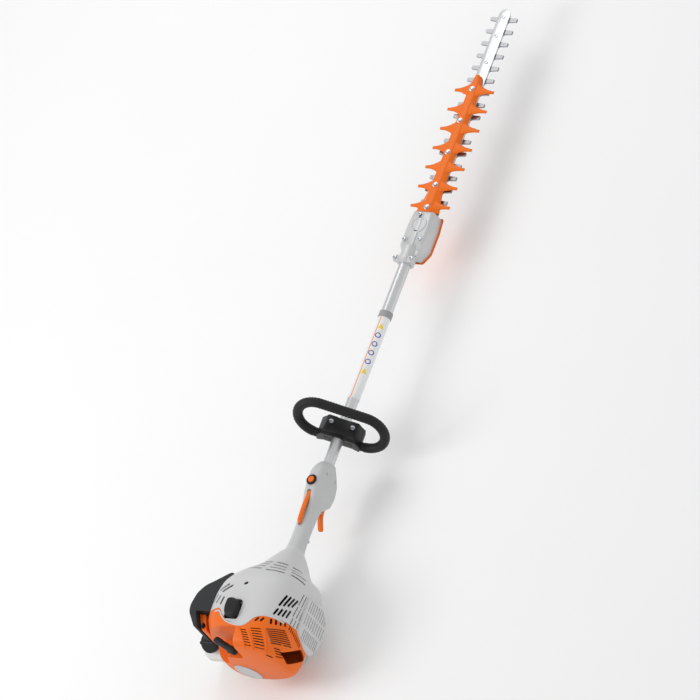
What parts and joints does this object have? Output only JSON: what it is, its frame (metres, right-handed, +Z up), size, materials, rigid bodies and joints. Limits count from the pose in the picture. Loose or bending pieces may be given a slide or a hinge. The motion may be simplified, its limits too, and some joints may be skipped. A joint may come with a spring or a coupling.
{
  "type": "hedge trimmer",
  "caption": "Petrol long-reach hedge trimmer: engine at the rear, trigger handle, loop handle on a straight tube, gearbox and a double-sided blade with tooth guard.",
  "frame": {"origin": "on the fuel tank's flat foot at ground level, straight below the shaft axis", "axes": "+X along the shaft towards the blade tip, +Y the user's left, +Z up"},
  "size_m": [1.6248, 0.2827, 0.232],
  "materials": {
    "shroud_grey": "fine texture",
    "housing_orange": "satin",
    "badge_silver": "brushed",
    "cast_alloy": "as cast",
    "machined_alloy": "machined",
    "steel": "turned",
    "black_rubber": "matt",
    "black_plastic": "fine texture",
    "rope": "braided",
    "muffler_steel": "heat stained",
    "filter_paper": "pleated",
    "cover_dark": "fine texture",
    "tank_white": "translucent white",
    "bulb_clear": "clear",
    "tube_alloy": "anodised",
    "label_white": "printed film",
    "collar_grey": "matt",
    "handle_grey": "fine texture",
    "control_orange": "satin",
    "bright_steel": "zinc plated",
    "gearbox_grey": "satin paint",
    "blade_steel": "ground",
    "bar_steel": "satin"
  },
  "bodies": {
    "frame": {"engine_shroud": "shroud_grey", "starter_housing": "housing_orange", "badge_plate": "badge_silver", "crankcase": "cast_alloy", "cylinder": "cast_alloy", "piston": "machined_alloy", "spark_plug": "steel", "spark_plug_boot": "black_rubber", "rope_bush": "black_plastic", "clutch_case": "cast_alloy", "muffler": "muffler_steel", "carburetor": "cast_alloy", "throttle_pulley": "black_plastic", "filter_base": "black_plastic", "filter_element": "filter_paper", "air_filter_cover": "cover_dark", "intake_panel": "housing_orange", "fuel_tank": "tank_white", "drive_tube": "tube_alloy", "shaft_bushings": "black_plastic", "label_sleeve": "label_white", "tube_collar": "collar_grey", "handle_shell_left": "handle_grey", "handle_shell_right": "handle_grey", "button_bezel": "black_plastic", "gearbox_housing": "gearbox_grey", "gearbox_base": "cast_alloy", "wear_plate": "housing_orange", "gearbox_screws": "bright_steel", "grease_plug": "gearbox_grey", "guide_bar": "bar_steel", "tooth_guard": "control_orange", "blade_bolts": "bright_steel", "handle_screws": "bright_steel"},
    "crank": {"crankshaft": "steel", "flywheel": "cast_alloy", "clutch_shoes": "steel"},
    "drive_line": {"drive_shaft": "steel", "clutch_drum": "steel", "drive_pinion": "steel"},
    "gear": {"crank_gear": "steel"},
    "top_blade": {"upper_blade": "blade_steel"},
    "bottom_blade": {"lower_blade": "blade_steel"},
    "trigger": {"throttle_trigger": "control_orange"},
    "lockout": {"throttle_lockout": "control_orange"},
    "stop": {"stop_button": "control_orange"},
    "cap": {"fuel_cap": "black_plastic"},
    "choke": {"choke_lever": "black_plastic"},
    "pulley": {"starter_pulley": "black_plastic"},
    "grip": {"starter_grip": "black_rubber", "starter_rope": "rope"},
    "loop": {"loop_grip": "black_rubber", "loop_frame": "steel", "handle_clamp": "black_plastic", "clamp_pad": "black_rubber", "loop_bolts": "bright_steel"},
    "primer": {"primer_bulb": "bulb_clear"}
  },
  "joints": [
    {"name": "crank_spin", "type": "hinge", "parent": "frame", "child": "crank", "pos_m": [0, 0, 0.108], "axis": [1, 0, 0], "continuous": true},
    {"name": "drive_spin", "type": "hinge", "parent": "frame", "child": "drive_line", "pos_m": [0.1, 0, 0.108], "axis": [1, 0, 0], "continuous": true},
    {"name": "gear_spin", "type": "hinge", "parent": "frame", "child": "gear", "pos_m": [0.987, 0, 0.09], "axis": [0, 0, 1], "continuous": true},
    {"name": "upper_blade_slide", "type": "slide", "parent": "frame", "child": "top_blade", "axis": [1, 0, 0], "range_m": [-0.0075, 0.0075]},
    {"name": "lower_blade_slide", "type": "slide", "parent": "frame", "child": "bottom_blade", "axis": [1, 0, 0], "range_m": [-0.0075, 0.0075]},
    {"name": "trigger_pull", "type": "hinge", "parent": "frame", "child": "trigger", "pos_m": [0.33, 0, 0.07], "axis": [0, 1, 0], "range_deg": [0, 13], "stiffness_Nm_per_rad": 0.3, "springref_deg": -11.46},
    {"name": "lockout_press", "type": "hinge", "parent": "frame", "child": "lockout", "pos_m": [0.32, 0, 0.131], "axis": [0, -1, 0], "range_deg": [0, 5], "stiffness_Nm_per_rad": 0.3, "springref_deg": -11.46},
    {"name": "stop_press", "type": "slide", "parent": "frame", "child": "stop", "axis": [0, 0, -1], "range_m": [0, 0.003], "stiffness_N_per_m": 400, "springref_m": -0.002},
    {"name": "cap_turn", "type": "hinge", "parent": "frame", "child": "cap", "pos_m": [-0.028, 0.135, 0.088], "axis": [-0.6, 0, 0.8], "range_deg": [0, 90]},
    {"name": "choke_turn", "type": "hinge", "parent": "frame", "child": "choke", "pos_m": [-0.035, 0.106, 0.174], "axis": [0, 0, 1], "range_deg": [0, 60]},
    {"name": "starter_pull", "type": "slide", "parent": "frame", "child": "grip", "axis": [0, 0, 1], "range_m": [0, 0.06]},
    {"name": "pulley_spin", "type": "hinge", "parent": "frame", "child": "pulley", "pos_m": [-0.076, 0, 0.108], "axis": [1, 0, 0], "range_deg": [-5, 110]},
    {"name": "loop_slide", "type": "slide", "parent": "frame", "child": "loop", "axis": [1, 0, 0], "range_m": [-0.03, 0.03]},
    {"name": "primer_press", "type": "slide", "parent": "frame", "child": "primer", "axis": [-1, 0, 0], "range_m": [0, 0.002], "stiffness_N_per_m": 300, "springref_m": -0.001}
  ],
  "couplings": [
    {"joint": "gear_spin", "follows": "drive_spin", "ratio": -0.29167},
    {"joint": "lower_blade_slide", "follows": "upper_blade_slide", "ratio": -1},
    {"joint": "pulley_spin", "follows": "starter_pull", "rad_per_m": 30.534}
  ]
}
